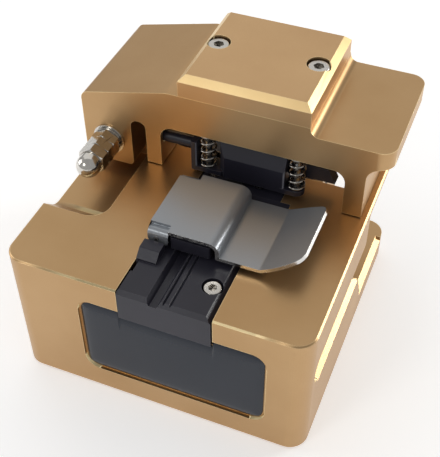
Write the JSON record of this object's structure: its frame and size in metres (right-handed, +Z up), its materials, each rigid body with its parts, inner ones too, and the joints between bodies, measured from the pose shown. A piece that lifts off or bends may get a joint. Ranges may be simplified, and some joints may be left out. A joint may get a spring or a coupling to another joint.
{
  "type": "fibre cleaver",
  "caption": "Bench tool that scores and snaps an optical fibre: machined block, V-groove guide, hinged press plate, hinged lever with sprung clamp, and a sliding round blade.",
  "frame": {"origin": "centre of the block's underside, on the bottom plate", "axes": "+Z up, +Y from the label wall to the back, +X right, towards the lever's overhang; the fibre lies along Y"},
  "size_m": [0.0842, 0.0803, 0.0726],
  "materials": {
    "gold": "gold anodised, fine blasted satin",
    "black_anodised": "black anodised, satin",
    "brushed": "brushed sheet",
    "steel": "machined stainless",
    "bright": "bright nickel",
    "spring_wire": "drawn spring wire",
    "carbide": "ground tungsten carbide",
    "label": "gloss dark resin, bare",
    "rubber": "matt moulded rubber",
    "brass": "turned bronze bush",
    "button": "moulded plastic"
  },
  "bodies": {
    "base": {"base_block": "gold", "label_plate": "label", "bottom_plate": "gold", "rubber_feet": "rubber", "bottom_plate_screws": "steel", "fibre_guide": "black_anodised", "guide_screws": "steel", "guide_magnet": "bright", "plate_pin": "steel", "hinge_bushes": "brass", "front_clamp_base": "black_anodised", "rear_clamp_base": "black_anodised", "lower_clamp_pads": "rubber", "clamp_base_screws": "steel", "slide_rails": "bright"},
    "flap": {"press_plate": "brushed", "press_pad_holder": "black_anodised", "press_pad": "rubber"},
    "lever": {"press_lever": "gold", "lever_cap": "gold", "cap_screws": "steel", "hinge_bolt": "steel", "plain_washer": "bright", "spring_washer": "steel", "hex_nut": "bright", "acorn_nut": "bright", "clamp_guide_screws": "steel", "anvil": "steel"},
    "clamp": {"clamp_block": "black_anodised", "clamp_rod": "black_anodised", "upper_clamp_pads": "rubber", "clamp_spring_left": "spring_wire", "clamp_spring_right": "spring_wire"},
    "carriage": {"blade_carriage": "black_anodised", "carriage_bushes": "brass", "push_arm": "brushed", "push_button": "button", "drive_spring": "spring_wire", "blade_axle_screw": "steel", "blade_washer": "steel"},
    "blade": {"blade_wheel": "carbide"}
  },
  "joints": [
    {"name": "lever_hinge", "type": "hinge", "parent": "base", "child": "lever", "pos_m": [-0.0327, 0.02285, 0.0464], "axis": [0, -1, 0], "range_deg": [0, 90]},
    {"name": "flap_hinge", "type": "hinge", "parent": "base", "child": "flap", "pos_m": [-0.0057, -0.01175, 0.0444], "axis": [0, -1, 0], "range_deg": [0, 90]},
    {"name": "clamp_slide", "type": "slide", "parent": "lever", "child": "clamp", "axis": [0, 0, 1], "range_m": [0, 0.0012], "stiffness_N_per_m": 900, "springref_m": -0.002, "deforming": ["clamp_spring_left", "clamp_spring_right"]},
    {"name": "carriage_slide", "type": "slide", "parent": "base", "child": "carriage", "axis": [1, 0, 0], "range_m": [0, 0.0205], "stiffness_N_per_m": 60, "springref_m": -0.02, "deforming": ["drive_spring"]},
    {"name": "blade_turn", "type": "hinge", "parent": "carriage", "child": "blade", "pos_m": [-0.0085, 0.017, 0.0335], "axis": [0, 1, 0], "continuous": true}
  ]
}
